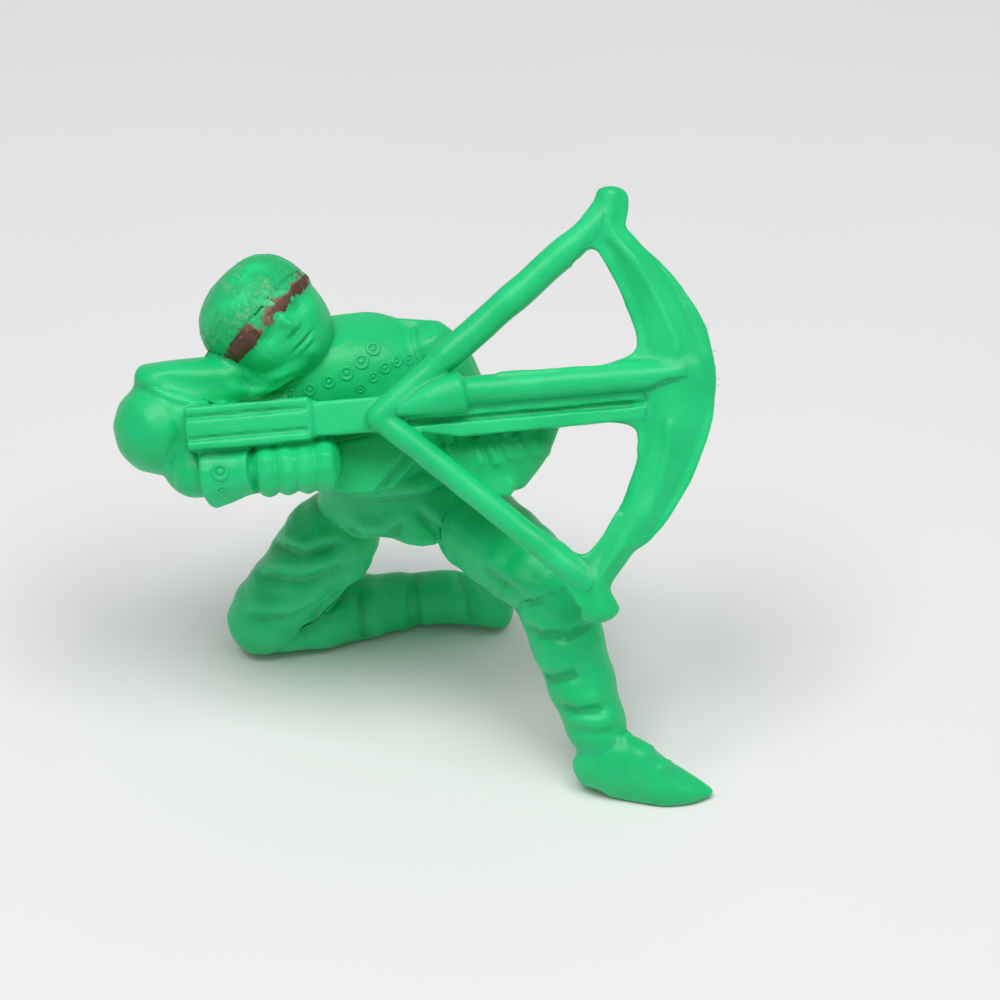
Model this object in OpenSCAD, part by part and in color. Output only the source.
// Kneeling toy crossbowman of soft moulded plastic, split into the sculpted regions of the moulding.
// Millimetres, +Z up. The figure aims along +X and its chest faces -Y.

/* [Legs] */
// Hip joint to knee joint of the kneeling leg
thigh_length = 15.25; // [13.75:0.25:16.75]
// Half thickness of both thighs at their middle
thigh_radius = 3.5; // [3.1:0.1:3.9]
// Knee joint to ankle joint, both legs
shin_length = 13; // [11.5:0.25:14.5]
// Half thickness of both knees, and height of the kneeling knee joint
knee_radius = 3.15; // [2.8:0.05:3.5]
// Half thickness of both ankles
ankle_radius = 2.3; // [2:0.1:2.7]
// Height of the standing ankle joint above the ground
ankle_height = 4.2; // [3.6:0.1:4.8]
// Heel to toe tip of both boots
foot_length = 10.2; // [9:0.2:11.4]
// Width of both boots across the ball of the foot
foot_width = 4.6; // [4:0.1:5.2]
// Depth of the cloth folds across the hose and boots
fold_depth = 0.1; // [0:0.02:0.3]

/* [Stance] */
// Kneeling knee to standing ankle, along the aim
stance_length = 27.5; // [25.5:0.5:29.5]
// Kneeling knee to standing ankle, towards the front
stance_depth = 17.2; // [15.7:0.5:18.7]
// Rise of the kneeling thigh from the ground, degrees
kneeling_rise = 55.5; // [51.5:1:59.5]
// Rise of the standing shin from the ground, degrees
standing_rise = 58; // [53:1:63]
// Distance between the hip joints
hip_width = 6.6; // [6:0.1:7.2]

/* [Body] */
// Hips to the line through both shoulders
spine_length = 14.2; // [13:0.2:15.4]
// Lean of the spine away from the aim, degrees
spine_lean = 23; // [19:1:27]
// Right shoulder joint to left shoulder joint
shoulder_width = 15.2; // [14:0.2:16.4]
// Depth of the chest from front to back
chest_depth = 8.2; // [7.2:0.2:9.2]
// Width of the jerkin at the waist
waist_width = 10.6; // [9.6:0.2:11.6]
// Half thickness of the hem roll round the jerkin
hem_radius = 0.75; // [0.5:0.05:1]
// Drop of the tunic skirt below the jerkin
skirt_drop = 5.6; // [4.6:0.2:6.6]
// Scallops round the tunic skirt
skirt_scallops = 8; // [6:1:10]

/* [Head] */
// Half width of the head across the temples
head_radius = 4.85; // [4.3:0.05:5.3]
// Brow line to chin
face_height = 6; // [5.4:0.1:6.6]
// Brow line to the crown of the cap
cap_height = 4.2; // [3.7:0.1:4.7]
// Overhang of the cap beyond the head
cap_overhang = 0.2; // [0.1:0.05:0.4]
// Half thickness of the painted fringe under the cap
fringe_radius = 0.8; // [0.6:0.05:1]
// Tilt of the head towards the stock, degrees
head_tilt = 49; // [44:1:54]

/* [Arms] */
// Half thickness of both upper arms
sleeve_radius = 3.1; // [2.7:0.1:3.5]
// Half thickness of the padded right elbow
elbow_radius = 3.9; // [3.5:0.1:4.3]
// Half thickness of both wrists
wrist_radius = 1.75; // [1.5:0.05:2]
// Flare of the right gauntlet over the wrist
cuff_flare = 1; // [0.6:0.1:1.4]
// Width of one finger
finger_width = 1.5; // [1.3:0.05:1.7]

/* [Studs] */
// Outer diameter of a ring stud
stud_diameter = 1.15; // [0.9:0.05:1.25]
// Height of a ring stud above the cloth
stud_height = 0.25; // [0.15:0.05:0.4]
// Ring studs in the row round the collar
collar_studs = 7; // [5:1:8]
// Ring studs in the row over the left breast
breast_studs = 5; // [3:1:5]

/* [Crossbow] */
// Nut to the middle of the bow
bow_reach = 23; // [21.6:0.2:24.4]
// Tiller line to the end of the upper bow limb
upper_span = 13.4; // [12.4:0.2:14.4]
// Tiller line to the end of the lower bow limb
lower_span = 14.4; // [13.4:0.2:15.4]
// Nut to the end of the upper bow limb, along the tiller
upper_end = 18.6; // [17.6:0.2:19.6]
// Nut to the end of the lower bow limb, along the tiller
lower_end = 15.3; // [14.1:0.2:16.5]
// Width of the bow at its middle
bow_width = 5.9; // [5:0.1:6.6]
// Width of the bow at the ends of its limbs
limb_width = 2.6; // [2.2:0.1:3]
// Thickness of the bow
bow_thickness = 2.4; // [2:0.1:2.8]
// Diameter of the bowstring
string_diameter = 2.1; // [1.7:0.1:2.5]
// Width of the tiller
tiller_width = 4.5; // [4:0.1:5]
// Thickness of the tiller
tiller_thickness = 3.4; // [3:0.1:3.8]
// Depth of the channel and grooves along the stock
groove_depth = 0.5; // [0.3:0.05:0.7]
// Length of the rear stock behind the lock
butt_length = 9.6; // [8.6:0.2:10.6]
// Width of the rear stock
butt_width = 3.3; // [2.9:0.1:3.7]
// Diameter of the bolt shaft
bolt_diameter = 2.2; // [1.9:0.1:2.5]
// Height of the nut above the hips
aim_height = 14.55; // [14.05:0.05:15.05]
// Rise of the aim, degrees
aim_rise = 5; // [3:0.5:7]
// Roll of the crossbow towards the chest, degrees
crossbow_roll = 55; // [52:1:58]

/* [Hidden] */
green = [0.06, 0.66, 0.28];
brown = [0.3, 0.16, 0.11];
SIDES = 20;
DEEP = -100;
STEPS = 4;
DOME = [28, 56, 80];
$fn = 40;

// Directions and blends
function unit(v) = v / norm(v);
function mix(a, b, t) = a + (b - a) * t;
function heading(turn, rise) = [cos(rise) * cos(turn), cos(rise) * sin(turn), sin(rise)];
function xyz(p) = [p[0], p[1], p[2]];

// Pose: turns from the aim, seen from above, and rises from the ground, degrees
thigh_turn = -6.5;
hips_turn = -3;
hips_rise = 3;
kneeling_shin_turn = 18;
kneeling_shin_rise = -4;
standing_shin_turn = 127;
kneeling_toe_turn = -7;
standing_toe_turn = -9;
shoulders_turn = 9.5;
shoulders_rise = 7;
right_arm_turn = 216;
right_arm_rise = -12;
left_arm_turn = -14;
left_arm_rise = -64;
head_turn = 146;
head_rise = 61;

// Skeleton, built up from the kneeling knee on the ground
up = [0, 0, 1];
knee_r = up * 0.95 * knee_radius;
hip_r = knee_r + thigh_length * heading(thigh_turn, kneeling_rise);
hips_across = heading(hips_turn, hips_rise);
hip_l = hip_r + hip_width * hips_across;
pelvis = (hip_r + hip_l) / 2;
ankle_r = knee_r + shin_length * heading(kneeling_shin_turn, kneeling_shin_rise);
ankle_l = [knee_r[0] + stance_length, knee_r[1] - stance_depth, ankle_height];
knee_l = ankle_l + shin_length * heading(standing_shin_turn, standing_rise);
spine = heading(180, 90 - spine_lean);
chest = pelvis + spine_length * spine;
across = heading(shoulders_turn, shoulders_rise);
front = unit(cross(across, spine));
shoulder_r = chest - across * shoulder_width / 2;
shoulder_l = chest + across * shoulder_width / 2;
elbow_r = shoulder_r + 2.25 * sleeve_radius * heading(right_arm_turn, right_arm_rise);
elbow_l = shoulder_l + 2.6 * sleeve_radius * heading(left_arm_turn, left_arm_rise);
neck = chest - across * shoulder_width * 0.23 + spine * spine_length * 0.077;
toe_r = heading(kneeling_toe_turn, 0);
toe_l = heading(standing_toe_turn, 0);
heel_l = [ankle_l[0], ankle_l[1] - 0.22 * foot_width, 0] - toe_l * 0.13 * foot_length;

// Lines and levels of the crossbow in its own frame: nut at the origin, aim along +X, upper limb along +Y
bolt_line = 0.6;
butt_line = 0.67 * bolt_line;
lock_line = 0.5 * bolt_line;
tiller_line = 0.45 * bolt_line;
shaft_line = 2.3 * bolt_line;
channel_line = -1.5 * bolt_line;
deck = 0.5;
butt_top = 0.1;
butt_depth = 5.1;
butt_groove = 0.4;
lock_top = -0.3;
lock_depth = 4.5;
lock_length = 5.2;
neck_half = 0.4 * butt_width;
tiller_start = 1.6;
tiller_full = 6;
bow_rise = 0.9;
string_lift = 0.4;

// Crossbow frame: along the aim, towards the upper limb, and out of the plane of the bow
plane_y = [0, cos(crossbow_roll), sin(crossbow_roll)];
aim_x = cos(aim_rise) * [1, 0, 0] + sin(aim_rise) * plane_y;
aim_y = cos(aim_rise) * plane_y - sin(aim_rise) * [1, 0, 0];
aim_z = [0, -sin(crossbow_roll), cos(crossbow_roll)];
nut_back = -1.5;
nut_forward = -9.7;
nut = pelvis + [nut_back, nut_forward, aim_height];
function on_bow(p) = nut + p[0] * aim_x + p[1] * aim_y + p[2] * aim_z;

// Head frame: crown, face and left ear
crown = cos(head_tilt) * plane_y - sin(head_tilt) * [1, 0, 0];
face = unit(aim_z + 0.2 * (sin(head_tilt) * plane_y + cos(head_tilt) * [1, 0, 0]));
ear = cross(crown, face);
brow = neck + 0.84 * head_radius * heading(head_turn, head_rise);

// Smooth run through a list of stations, each a position and two half widths
function catmull(p, i, t) =
    let (a = p[max(i - 1, 0)], b = p[i], c = p[i + 1], d = p[min(i + 2, len(p) - 1)])
    (2 * b + (c - a) * t + (2 * a - 5 * b + 4 * c - d) * t * t + (3 * b - a - 3 * c + d) * t * t * t) / 2;
function smooth(p, steps) =
    [for (i = [0 : len(p) - 2], s = [0 : steps - 1]) catmull(p, i, s / steps), p[len(p) - 1]];

// Rounded ends beyond the first and last station, their height as a share of the end's half width
function dome(p, q, share) =
    let (d = unit(xyz(p) - xyz(q)) * p[3] * share)
    [for (a = DOME) concat(xyz(p) + d * sin(a), [p[3] * cos(a), p[4] * cos(a)])];
function turned(list) = [for (i = [len(list) - 1 : -1 : 0]) list[i]];
function domed(p, h0, h1) =
    concat(
        h0 > 0 ? turned(dome(p[0], p[1], h0)) : [],
        p,
        h1 > 0 ? dome(p[len(p) - 1], p[len(p) - 2], h1) : []
    );

// Centre and two half axes of each section; the first half axis leans towards ref
function frames(p, ref) =
    [for (i = [0 : len(p) - 1])
        let (
            d = unit(xyz(p[min(i + 1, len(p) - 1)]) - xyz(p[max(i - 1, 0)])),
            b = unit(cross(d, ref))
        )
        [xyz(p[i]), cross(b, d) * p[i][3], b * p[i][4]]];

// Section outline; square 2 is an ellipse, less draws corners out, more fills them
function power(x, square) = sign(x) * pow(abs(x), 2 / square);
function ring_point(f, angle, square = 2) =
    f[0] + f[1] * power(cos(angle), square) + f[2] * power(sin(angle), square);
function ring(f, sides, square = 2) = [for (i = [0 : sides - 1]) ring_point(f, 360 * i / sides, square)];
function centre(r) = [for (k = [0 : 2]) [for (p = r) p[k]] * [for (p = r) 1 / len(r)]];
function level(r, ground) = [for (p = r) [p[0], p[1], max(p[2], ground)]];

// Closed skin over a row of sections
module skin(rings) {
    n = len(rings[0]);
    m = len(rings);
    points = concat([for (r = rings) each r], [centre(rings[0]), centre(rings[m - 1])]);
    sides = [
        for (k = [0 : m - 2], i = [0 : n - 1])
            each let (p = k * n, q = p + n, j = (i + 1) % n)
            [[p + i, q + i, p + j], [p + j, q + i, q + j]]
    ];
    ends = [
        for (i = [0 : n - 1])
            each let (q = (m - 1) * n, j = (i + 1) % n)
            [[m * n, i, j], [m * n + 1, q + j, q + i]]
    ];
    polyhedron(points, concat(sides, ends));
}

// Skin over a row of sections whose last section meets the first
module loop(rings) {
    n = len(rings[0]);
    m = len(rings);
    sides = [
        for (k = [0 : m - 1], i = [0 : n - 1])
            each let (p = k * n, q = ((k + 1) % m) * n, j = (i + 1) % n)
            [[p + i, q + i, p + j], [p + j, q + i, q + j]]
    ];
    polyhedron([for (r = rings) each r], sides);
}

module limb(stations, ref, ends, steps = STEPS, sides = SIDES, square = 2, folds = 0, ground = DEEP) {
    path = domed(folded(smooth(stations, steps), folds), ends[0], ends[1]);
    skin([for (f = frames(path, ref)) level(ring(f, sides, square), ground)]);
}

// Cloth folds: rounded swells with creases between them
function folded(p, count) =
    [for (i = [0 : len(p) - 1])
        let (swell = count > 0 ? fold_depth * (2 * abs(sin(180 * count * i / (len(p) - 1))) - 1) : 0)
        concat(xyz(p[i]), [p[i][3] + swell, p[i][4] + swell])];

// Stations of a limb between two joints: fraction of the length, half width, half width
function between(a, b, profile) =
    [for (p = profile) concat(mix(a, b, p[0]), [p[1], p[2]])];

module facing(p, n) {
    translate(p)
        rotate([0, acos(n[2] / norm(n)), atan2(n[1], n[0])])
            children();
}

// Middle of the footprint, taken as the origin: right elbow to left toe, left boot to right ankle
toe_tip = heel_l + toe_l * foot_length;
boot_side = heel_l + toe_l * 0.68 * foot_length - [0, 0.41 * foot_width, 0];
origin = [
    (elbow_r[0] - elbow_radius + toe_tip[0]) / 2,
    (boot_side[1] + ankle_r[1] + ankle_radius) / 2,
    0
];
module set_down() {
    translate(-origin) children();
}

module on_crossbow() {
    translate(nut)
        rotate([crossbow_roll, 0, 0])
            rotate([0, 0, aim_rise])
                children();
}

// Jerkin sections: fraction of the spine, half depth, half width, shift to the front as a share of the depth
function torso_frame(t, depth, width, shift) =
    [
        pelvis + spine * spine_length * t + front * chest_half * shift,
        front * depth,
        unit(mix(hips_across, across, t)) * width
    ];
chest_half = chest_depth / 2;
waist_half = waist_width / 2;
shoulder_half = shoulder_width / 2;
hem_row = 1;
torso_square = 2.3;
jerkin_profile = [
    [0.22, 0.9 * chest_half, 0.84 * waist_half, 0.07],
    [0.33, 1.06 * chest_half, 0.98 * waist_half, 0.12],
    [0.48, 1.1 * chest_half, waist_half, 0.15],
    [0.68, 1.05 * chest_half, 0.8 * shoulder_half, 0.07],
    [0.88, 1.02 * chest_half, 0.98 * shoulder_half, 0],
    [1.04, 0.96 * chest_half, 0.98 * shoulder_half, -0.05],
    [1.15, 0.8 * chest_half, 0.84 * shoulder_half, -0.12],
    [1.2, 0.52 * chest_half, 0.58 * shoulder_half, -0.15],
    [1.22, 0.2 * chest_half, 0.24 * shoulder_half, -0.15]
];
function torso_at(row) =
    let (p = catmull(jerkin_profile, floor(row), row - floor(row)))
    torso_frame(p[0], p[1], p[2], p[3]);
function torso_normal(f, angle) =
    unit(f[1] / (f[1] * f[1]) * cos(angle) + f[2] / (f[2] * f[2]) * sin(angle));

module jerkin_form() {
    rows = smooth(jerkin_profile, 3);
    skin([for (p = rows) ring(torso_frame(p[0], p[1], p[2], p[3]), 26, torso_square)]);
}

module jerkin() {
    color(green) set_down() jerkin_form();
}

module hem_form() {
    f = torso_at(hem_row);
    turns = [for (a = [0 : 15 : 345]) a];
    loop([
        for (a = turns)
            let (
                p = ring_point(f, a, torso_square),
                out = torso_normal(f, a)
            )
            ring([p, spine * hem_radius * 1.3, out * hem_radius], 8)
    ]);
}

module jerkin_hem() {
    color(green)
        set_down()
            difference() {
                hem_form();
                jerkin_form();
                skirt_form();
            }
}

// Tunic skirt below the hem, with a scalloped rim
module skirt_form() {
    top = pelvis + spine * spine_length * (jerkin_profile[hem_row][0] + 0.04) + front * chest_half * 0.07;
    foot = pelvis + skirt_drop * [0.107, -0.09, -0.107];
    drop = norm(top - foot);
    levels = [0, 0.25, 0.5, 0.75, 0.92, 1];
    skin(turned([
        for (t = levels)
            [
                for (i = [0 : 39])
                    let (
                        a = 360 * i / 40,
                        lobe = abs(cos(a * skirt_scallops / 2)),
                        reach = (t > 0.95 ? 0.93 : 1) * (1 + 0.09 * t * lobe)
                    )
                    mix(top, foot, t * skirt_drop * (1 + 0.14 * lobe) / drop)
                    + front * cos(a) * mix(0.98 * chest_half, 1.26 * chest_half, t) * reach
                    + hips_across * sin(a) * mix(0.9 * waist_half, 1.34 * waist_half, t) * reach
            ]
    ]));
}

module tunic_skirt() {
    color(green)
        set_down()
            difference() {
                skirt_form();
                jerkin_form();
            }
}

// One ring stud with a dot in its middle, sunk into the cloth
module stud(size) {
    sunk = 2 * stud_height;
    rotate_extrude($fn = 12)
        polygon([
            [0, -sunk],
            [0.5 * size, -sunk],
            [0.5 * size, 0.6 * stud_height],
            [0.42 * size, stud_height],
            [0.28 * size, 0.6 * stud_height],
            [0.16 * size, stud_height],
            [0, 1.1 * stud_height]
        ]);
}

// Turn round the jerkin for a fraction of its half width, so that equal fractions stand evenly
function turn_at(fraction) = asin(sign(fraction) * pow(abs(fraction), torso_square / 2));
module stud_on_jerkin(row, angle, size) {
    f = torso_at(row);
    facing(ring_point(f, angle, torso_square), torso_normal(f, angle)) stud(size);
}

// Rows of the jerkin that the two lines of studs start from, and turns of the breast line, degrees
collar_row = 4.75;
breast_row = 4.55;
breast_turns = [10, 52];
module jerkin_studs() {
    color(green)
        set_down()
            difference() {
                union() {
                    for (i = [0 : collar_studs - 1]) {
                        u = i / (collar_studs - 1);
                        stud_on_jerkin(collar_row + 1.15 * u * u, turn_at(mix(-0.7, 0.6, u)), stud_diameter);
                    }
                    for (i = [0 : breast_studs - 1]) {
                        u = i / (breast_studs - 1);
                        turn = mix(breast_turns[0], breast_turns[1], u);
                        stud_on_jerkin(breast_row + 0.55 * sin(130 * u), turn, 0.75 * stud_diameter);
                    }
                }
                jerkin_form();
                left_sleeve_form();
                cape_form();
            }
}

// Collar roll round the throat, open at the nape
collar_axis = unit(mix(spine, crown, 0.4));
collar_side = unit(cross(aim_z, collar_axis));
collar_front = cross(collar_axis, collar_side);
module collar_form() {
    roll = 0.14 * head_radius;
    skin([
        for (a = [-15 : 15 : 195])
            let (out = collar_side * cos(a) + collar_front * sin(a))
            ring([neck + aim_z * roll + out * 0.76 * head_radius, collar_axis * roll, out * roll], 10)
    ]);
}

module collar() {
    color(green)
        set_down()
            difference() {
                collar_form();
                jerkin_form();
                head_form();
            }
}

// Face relief: drop from the brow, turn from the nose, spread of the drop, spread of the turn, height.
// Drops are shares of the face's height and heights are shares of the head's radius.
relief = [
    [0.12, 0, 0.1, 30, 0.045],
    [0.27, 20, 0.1, 11, -0.087],
    [0.27, -20, 0.1, 11, -0.087],
    [0.33, 0, 0.15, 7, 0.072],
    [0.45, 0, 0.09, 8, 0.155],
    [0.5, 34, 0.15, 16, 0.052],
    [0.5, -34, 0.15, 16, 0.052],
    [0.625, 0, 0.05, 18, 0.045],
    [0.683, 0, 0.027, 16, -0.041],
    [0.742, 0, 0.05, 15, 0.045],
    [0.883, 0, 0.083, 14, 0.103]
];
function bump(drop, turn) =
    [for (r = relief) r[4] * exp(-pow((drop - r[0]) / r[2], 2) - pow((turn - r[1]) / r[3], 2))]
    * [for (r = relief) 1];
face_rows = concat([for (i = [0 : 10]) 0.06 * i], [0.65, 0.7, 0.75, 0.81, 0.88, 0.94, 1]);
function jaw(t) = head_radius * pow(1 - pow(0.985 * t, 2.6), 0.5);
function head_point(t, turn) =
    let (
        lean = 0.12 * head_radius * t * t,
        reach = jaw(t) + bump(t, turn) * head_radius
    )
    brow - crown * face_height * t + face * (reach * cos(turn) + lean) + ear * reach * sin(turn) * 0.94;

module head_form() {
    skin(turned([for (t = face_rows) [for (i = [0 : 35]) head_point(t, (i > 18 ? i - 36 : i) * 10)]]));
    limb(
        [
            concat(neck - spine * 0.33 * head_radius, [0.62, 0.62] * head_radius),
            concat(mix(neck, brow, 0.55), [0.66, 0.66] * head_radius)
        ],
        front, [0, 0], 4, 20
    );
}

module head() {
    color(green)
        set_down()
            difference() {
                head_form();
                jerkin_form();
            }
}

// Cap: a dome on the brow plane, reaching past the head all round
module cap_form() {
    brim = head_radius + cap_overhang;
    skin([
        for (a = [0, 12, 24, 36, 48, 59, 69, 78, 85])
            [
                for (i = [0 : 31])
                    let (turn = 360 * i / 32)
                    brow + crown * cap_height * pow(sin(a), 0.9)
                    + (face * cos(turn) + ear * 0.96 * sin(turn)) * brim * pow(cos(a), 0.75)
            ]
    ]);
}

module cap() {
    color(green)
        set_down()
            difference() {
                cap_form();
                cape_form();
            }
}

// Painted fringe under the cap, from temple to temple
module fringe_form() {
    skin([
        for (turn = [-104 : 16 : 104])
            let (
                swell = pow(cos(turn * 0.8), 0.4),
                out = face * cos(turn) + ear * 0.94 * sin(turn),
                along = crown * fringe_radius * swell
            )
            ring([brow - along * 1.04 + out * head_radius, along, out * 0.52 * fringe_radius * swell], 10)
    ]);
}

module fringe() {
    color(brown)
        set_down()
            difference() {
                fringe_form();
                head_form();
                cape_form();
            }
}

// Right arm, bent round to the trigger hand below the stock
sleeve_r_profile = [
    [-0.1, 0.55 * sleeve_radius, 0.55 * sleeve_radius],
    [0.12, 0.62 * sleeve_radius, 0.62 * sleeve_radius],
    [0.42, sleeve_radius, sleeve_radius],
    [0.8, 0.97 * elbow_radius, 0.97 * elbow_radius],
    [1, elbow_radius, elbow_radius]
];
module right_sleeve_form() {
    limb(between(shoulder_r, elbow_r, sleeve_r_profile), up, [0.35, 1], 3, 22);
}

module right_sleeve() {
    color(green)
        set_down()
            difference() {
                right_sleeve_form();
                jerkin_form();
                collar_form();
                head_form();
            }
}

// Shoulder cape stations: offsets along the aim, up the bow plane and out of it, in sleeve radii
cape_profile = [
    [0.6, 0.24, 0.45, 0.45, 0.7],
    [-0.5, -0.06, 0.6, 0.7, 1.05],
    [-1.5, 0.02, 0.6, 0.56, 1.25],
    [-2.25, 0.14, 0.5, 0.34, 1]
];
module cape_form() {
    limb(
        [
            for (p = cape_profile)
                concat(
                    shoulder_r + sleeve_radius * (p[0] * [1, 0, 0] + p[1] * plane_y + p[2] * aim_z),
                    sleeve_radius * [p[3], p[4]]
                )
        ],
        plane_y, [0.42, 0.47], 3, 18, 2.4
    );
}

module shoulder_cape() {
    color(green)
        set_down()
            difference() {
                cape_form();
                jerkin_form();
                right_sleeve_form();
                collar_form();
                head_form();
            }
}

// Points of the right arm under the stock: shares of the rear stock behind its front end, of its width
// and of its depth
function under_stock(back, drop, sink) =
    on_bow([-lock_length - back * butt_length, -drop * butt_width, -sink * butt_depth]);
cuff_start = under_stock(0.84, 0.94, 0.63);
cuff_end = under_stock(0.49, 0.92, 0.43);
module right_forearm_form() {
    limb(
        [
            concat(elbow_r, [0.5, 0.5] * elbow_radius),
            concat(under_stock(1.06, 0.61, 0.9), [1.15, 1.15] * wrist_radius),
            concat(under_stock(0.98, 0.88, 0.75), [1.15, 1.15] * wrist_radius),
            concat(cuff_start, wrist_radius * [1, 1]),
            concat(cuff_end, wrist_radius * [1, 1])
        ],
        up, [0, 0], 3
    );
}

module right_forearm() {
    color(green)
        set_down()
            difference() {
                right_forearm_form();
                right_sleeve_form();
                jerkin_form();
                butt_form();
            }
}

module gauntlet_form() {
    mouth = wrist_radius + cuff_flare;
    limb(
        [
            concat(cuff_start, [mouth, mouth]),
            concat(mix(cuff_start, cuff_end, 0.35), [0.9, 0.9] * mouth),
            concat(mix(cuff_start, cuff_end, 0.75), [1.16, 1.16] * wrist_radius),
            concat(cuff_end, [1.12, 1.12] * wrist_radius)
        ],
        up, [0.18, 0], 3
    );
}

module right_gauntlet() {
    color(green)
        set_down()
            difference() {
                gauntlet_form();
                right_forearm_form();
                right_sleeve_form();
                jerkin_form();
                butt_form();
            }
}

module gauntlet_studs() {
    axis = unit(cuff_end - cuff_start);
    outward = unit(aim_z - axis * (aim_z * axis));
    low = unit(outward - 0.75 * aim_y);
    reach = wrist_radius + 0.72 * cuff_flare;
    color(green)
        set_down()
            difference() {
                union() {
                    facing(mix(cuff_start, cuff_end, 0.45) + outward * (reach - 0.8 * stud_height), outward)
                        stud(stud_diameter);
                    facing(mix(cuff_start, cuff_end, 0.4) + low * (reach - 0.4 * stud_height), low)
                        stud(0.7 * stud_diameter);
                }
                gauntlet_form();
                right_forearm_form();
            }
}

// Fingers curled round the underside of the stock, side by side along it
// Stations are in finger widths from the grip
grip_r = [-lock_length - 0.156 * butt_length, -0.92 * butt_width, -0.53 * butt_depth];
palm_r = [
    [-2.13, 0.07, 0.13, 1, 1.3],
    [-0.2, 0, 0, 1.27, 1.5],
    [1.87, 0.07, -0.07, 1.2, 1.45]
];
finger_r = [
    [0, 0.8, 0.6, 0.56, 0.46],
    [0, 0.27, 1.3, 0.56, 0.52],
    [0, -0.87, 1.12, 0.56, 0.5],
    [0, -1.1, 0.2, 0.56, 0.46]
];
function fingers_at(place, stations) =
    [for (s = stations) concat(place + finger_width * xyz(s), finger_width * [s[3], s[4]])];
module right_fist_form() {
    on_crossbow() {
        limb(fingers_at(grip_r, palm_r), [0, 1, 0], [0.27, 0.35], 3, 14);
        for (i = [-1.5 : 1.5]) {
            limb(fingers_at(grip_r + [i * finger_width, 0, 0], finger_r), [1, 0, 0], [0.72, 0.72], 2, 8);
        }
    }
}

module right_fist() {
    color(green)
        set_down()
            difference() {
                right_fist_form();
                gauntlet_form();
                right_forearm_form();
                jerkin_form();
                butt_form();
                lock_form();
            }
}

// Left arm, reaching under the tiller
grip_l = [0.4 * bow_reach, -0.75 * tiller_width, -tiller_thickness];
wrist_l = on_bow(grip_l + finger_width * [0.13, 0, -0.8]);
sleeve_l_profile = [
    [-0.05, 0.74 * sleeve_radius, 0.74 * sleeve_radius],
    [0.25, 0.94 * sleeve_radius, 0.94 * sleeve_radius],
    [0.65, 0.88 * sleeve_radius, 0.88 * sleeve_radius],
    [1, 0.8 * sleeve_radius, 0.8 * sleeve_radius]
];
module left_sleeve_form() {
    limb(between(shoulder_l, elbow_l, sleeve_l_profile), front, [0.6, 0.89], 3, 18);
}

module left_sleeve() {
    color(green)
        set_down()
            difference() {
                left_sleeve_form();
                jerkin_form();
                hem_form();
            }
}

module left_forearm_form() {
    limb(
        [
            concat(elbow_l, [0.7, 0.7] * sleeve_radius),
            concat(mix(elbow_l, wrist_l, 0.5), [0.66, 0.66] * sleeve_radius),
            concat(wrist_l, wrist_radius * [1, 1])
        ],
        up, [0.23, 0.46], 4, 16
    );
}

module left_forearm() {
    color(green)
        set_down()
            difference() {
                left_forearm_form();
                left_sleeve_form();
                jerkin_form();
            }
}

palm_l = [
    [0.53, 1.4, 0.07, 0.85, 2.6],
    [0.4, 0.27, -0.07, 1, 2.2],
    [0.2, -0.8, -0.13, 1, 1.65],
    [0.07, -1.6, -0.13, 0.75, 1.1]
];
function finger_l(i) = [
    [-0.33, 0.6, -0.4, 0.4, 0.55],
    [0, 0, 0, 0.48, 0.55],
    [0.47, -0.87, 0.07, 0.48, 0.55],
    [0.8, 0.2 * i - 1.4, -0.4, 0.42, 0.55]
];
module left_hand_form() {
    on_crossbow() {
        limb(fingers_at(grip_l, palm_l), up, [0.42, 0.56], 2, 14);
        for (i = [0 : 3]) {
            knuckle = grip_l + finger_width * [i - 1.73, 0.27 + 0.17 * i, 0.67];
            limb(fingers_at(knuckle, finger_l(i)), up, [0.67, 0.8], 2, 8);
        }
    }
}

module left_hand() {
    color(green)
        set_down()
            difference() {
                left_hand_form();
                left_forearm_form();
                tiller_form();
                string_form();
            }
}

// Legs
function leg(from, to, full) =
    between(from, to, [
        [0.1, 0.72 * full * thigh_radius, 0.72 * full * thigh_radius],
        [0.3, full * thigh_radius, full * thigh_radius],
        [0.55, thigh_radius, thigh_radius],
        [0.8, 0.5 * (thigh_radius + knee_radius), 0.5 * (thigh_radius + knee_radius)],
        [1, knee_radius, knee_radius]
    ]);
module right_thigh_form() {
    limb(leg(hip_r, knee_r, 1.1), front, [0.42, 1], 4, SIDES, 2, 5, 0);
}

module right_thigh() {
    color(green)
        set_down()
            difference() {
                right_thigh_form();
                skirt_form();
                jerkin_form();
            }
}

module right_shin_form() {
    calf = 0.96 * knee_radius;
    limb(
        [
            concat(knee_r, [0.9, 0.9] * knee_radius),
            concat(mix(knee_r, ankle_r, 0.35), [calf, 1.1 * calf]),
            concat(mix(knee_r, ankle_r, 0.7), [0.5, 0.5] * (calf + ankle_radius)),
            concat(ankle_r, ankle_radius * [1, 1])
        ],
        up, [0, 0.43], 5, SIDES, 2, 4, 0
    );
}

module right_shin() {
    color(green)
        set_down()
            difference() {
                right_shin_form();
                right_thigh_form();
            }
}

module right_foot_form() {
    limb(
        [
            concat(ankle_r, [0.95, 0.95] * ankle_radius),
            concat(ankle_r + toe_r * 0.33 * foot_length + up * 0.2 * ankle_radius, [1, 0.95] * ankle_radius),
            concat(
                ankle_r + toe_r * 0.58 * foot_length - up * 0.09 * ankle_radius,
                [0.75 * ankle_radius, 0.44 * foot_width]
            ),
            concat(
                ankle_r + toe_r * 0.76 * foot_length - up * 0.35 * ankle_radius,
                [0.5 * ankle_radius, 0.36 * foot_width]
            )
        ],
        up, [0, 0.61], 3, SIDES, 2, 0, 0
    );
}

module right_foot() {
    color(green)
        set_down()
            difference() {
                right_foot_form();
                right_shin_form();
            }
}

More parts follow.
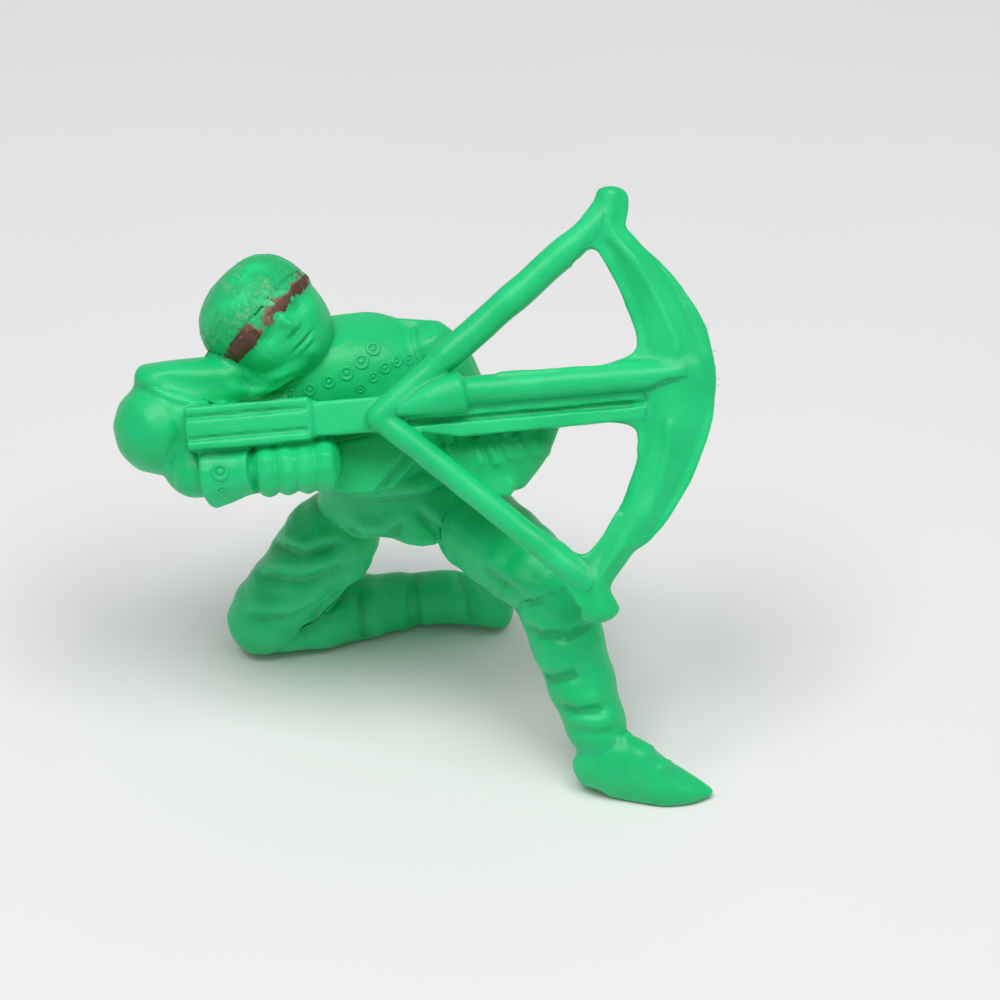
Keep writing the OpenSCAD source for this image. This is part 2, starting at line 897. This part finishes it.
module left_thigh_form() {
    limb(leg(hip_l, knee_l, 1), up, [0.47, 0.95], 4, SIDES, 2, 5);
}

module left_thigh() {
    color(green)
        set_down()
            difference() {
                left_thigh_form();
                skirt_form();
                jerkin_form();
                right_thigh_form();
            }
}

module left_shin_form() {
    calf = 0.92 * knee_radius;
    limb(
        [
            concat(knee_l, [0.95, 0.95] * knee_radius),
            concat(mix(knee_l, ankle_l, 0.35), [calf, calf]),
            concat(mix(knee_l, ankle_l, 0.7), [0.5, 0.5] * (calf + ankle_radius)),
            concat(ankle_l, ankle_radius * [1, 1])
        ],
        front, [0, 0.52], 5, SIDES, 2, 4
    );
}

module left_shin() {
    color(green)
        set_down()
            difference() {
                left_shin_form();
                left_thigh_form();
            }
}

// Standing boot: distance from the heel, height of the middle, half height, half width
boot_profile = [
    [0, 0.34, 0.34, 0.28],
    [0.12, 0.5, 0.56, 0.38],
    [0.28, 0.54, 0.74, 0.42],
    [0.48, 0.34, 0.58, 0.42],
    [0.68, 0.2, 0.38, 0.41],
    [0.87, 0.16, 0.2, 0.28],
    [0.98, 0.15, 0.09, 0.1]
];
module left_foot_form() {
    limb(
        [
            for (p = boot_profile)
                concat(
                    heel_l + toe_l * p[0] * foot_length + up * p[1] * ankle_height,
                    [p[2] * ankle_height, p[3] * foot_width]
                )
        ],
        up, [0.35, 0.95], 2, SIDES, 2.2, 0, 0
    );
}

module left_foot() {
    color(green)
        set_down()
            difference() {
                left_foot_form();
                left_shin_form();
            }
}

// Crossbow, drawn flat in its own frame
module butt_form() {
    on_crossbow()
        translate([-lock_length - butt_length, butt_line - butt_width / 2, butt_top - butt_depth])
            difference() {
                cube([butt_length, butt_width, butt_depth]);
                for (y = [0.25, 0.75]) {
                    translate([-0.1 * butt_length, y * butt_width, butt_depth - 0.6 * groove_depth])
                        translate([0, -butt_groove / 2, 0])
                            cube([1.08 * butt_length, butt_groove, groove_depth]);
                }
            }
}

module butt() {
    color(green)
        set_down()
            difference() {
                butt_form();
                jerkin_form();
                right_sleeve_form();
                cape_form();
                collar_form();
            }
}

module lock_form() {
    on_crossbow()
        translate([-lock_length, lock_line - neck_half, lock_top - lock_depth])
            cube([lock_length + tiller_start, 2 * neck_half, lock_depth]);
}

module lock() {
    color(green)
        set_down()
            difference() {
                lock_form();
                jerkin_form();
                string_form();
            }
}

module tiller_form() {
    half = tiller_width / 2;
    on_crossbow()
        difference() {
            translate([0, tiller_line, deck - tiller_thickness])
                linear_extrude(tiller_thickness)
                    polygon([
                        [tiller_start, -neck_half],
                        [tiller_full, -half],
                        [bow_reach, -half * 0.95],
                        [bow_reach, half * 0.95],
                        [tiller_full, half],
                        [tiller_start, neck_half]
                    ]);
            translate([0.17 * tiller_full, channel_line, deck - groove_depth])
                cube([bow_reach, groove_depth, 2 * groove_depth]);
        }
}

module tiller() {
    color(green)
        set_down()
            difference() {
                tiller_form();
                bow_form();
                string_form();
                jerkin_form();
            }
}

// Bow: middle of the limb at a fraction of its length, upper limb positive
function limb_mid(t) =
    [
        mix(bow_reach, t > 0 ? upper_end : lower_end, pow(abs(t), 1.75)),
        t * (t > 0 ? upper_span : lower_span) + bow_rise * (1 - t * t),
        0
    ];
module bow_form() {
    knob = 0.6 * limb_width;
    tip = 0.48 * limb_width;
    on_crossbow()
        limb(
            concat(
                [concat(limb_mid(-1) + [0.15, -1.2, 0] * knob, [0.42 * bow_thickness, knob])],
                [
                    for (t = [-1 : 0.125 : 1])
                        concat(
                            limb_mid(t),
                            [
                                bow_thickness * mix(0.6, 0.45, abs(t)),
                                mix(bow_width, limb_width, pow(abs(t), 0.7)) / 2
                            ]
                        )
                ],
                [concat(limb_mid(1) + [0.4, 1.7, 0] * tip, [0.42 * bow_thickness, tip])]
            ),
            up, [0.8, 0.8], 1, 16, 1.5
        );
}

module bow() {
    color(green) set_down() bow_form();
}

module string_form() {
    half = string_diameter / 2;
    start = [0, 0, string_lift];
    upper_tip = limb_mid(1) + [0, 0.24 * string_diameter, 0];
    on_crossbow() {
        limb([concat(start, [half, half]), concat(upper_tip, [half, half])], up, [1, 0], 1, 16);
        limb([concat(start, [0.92, 0.92] * half), concat(limb_mid(-1), [half, half])], up, [0.5, 0], 1, 16);
    }
}

module bowstring() {
    color(green)
        set_down()
            difference() {
                string_form();
                bow_form();
            }
}

// Bolt: a thick tail at the nut and a shaft along the deck
module bolt_form() {
    tail = 0.73 * bolt_diameter;
    on_crossbow() {
        limb(
            [
                [0.2 * tiller_full, 0.67 * bolt_line, deck + 0.25 * tail, 0.3 * tail, 0.3 * tail],
                [0.63 * tiller_full, 1.6 * bolt_line, deck + 0.31 * tail, 0.6 * tail, 0.75 * tail],
                [1.07 * tiller_full, shaft_line, deck + 0.31 * tail, 0.7 * tail, tail]
            ],
            up, [0.83, 0.44], 3, 16
        );
        translate([tiller_full, shaft_line, deck + 0.02 * bolt_diameter])
            rotate([0, 90, 0])
                cylinder(d = bolt_diameter, h = bow_reach - 0.67 * tiller_full);
    }
}

module bolt() {
    color(green)
        set_down()
            difference() {
                bolt_form();
                tiller_form();
                string_form();
                bow_form();
                lock_form();
            }
}

head();
cap();
fringe();
collar();
jerkin();
jerkin_studs();
jerkin_hem();
tunic_skirt();
shoulder_cape();
right_sleeve();
right_forearm();
right_gauntlet();
gauntlet_studs();
right_fist();
left_sleeve();
left_forearm();
left_hand();
right_thigh();
right_shin();
right_foot();
left_thigh();
left_shin();
left_foot();
butt();
lock();
tiller();
bow();
bowstring();
bolt();
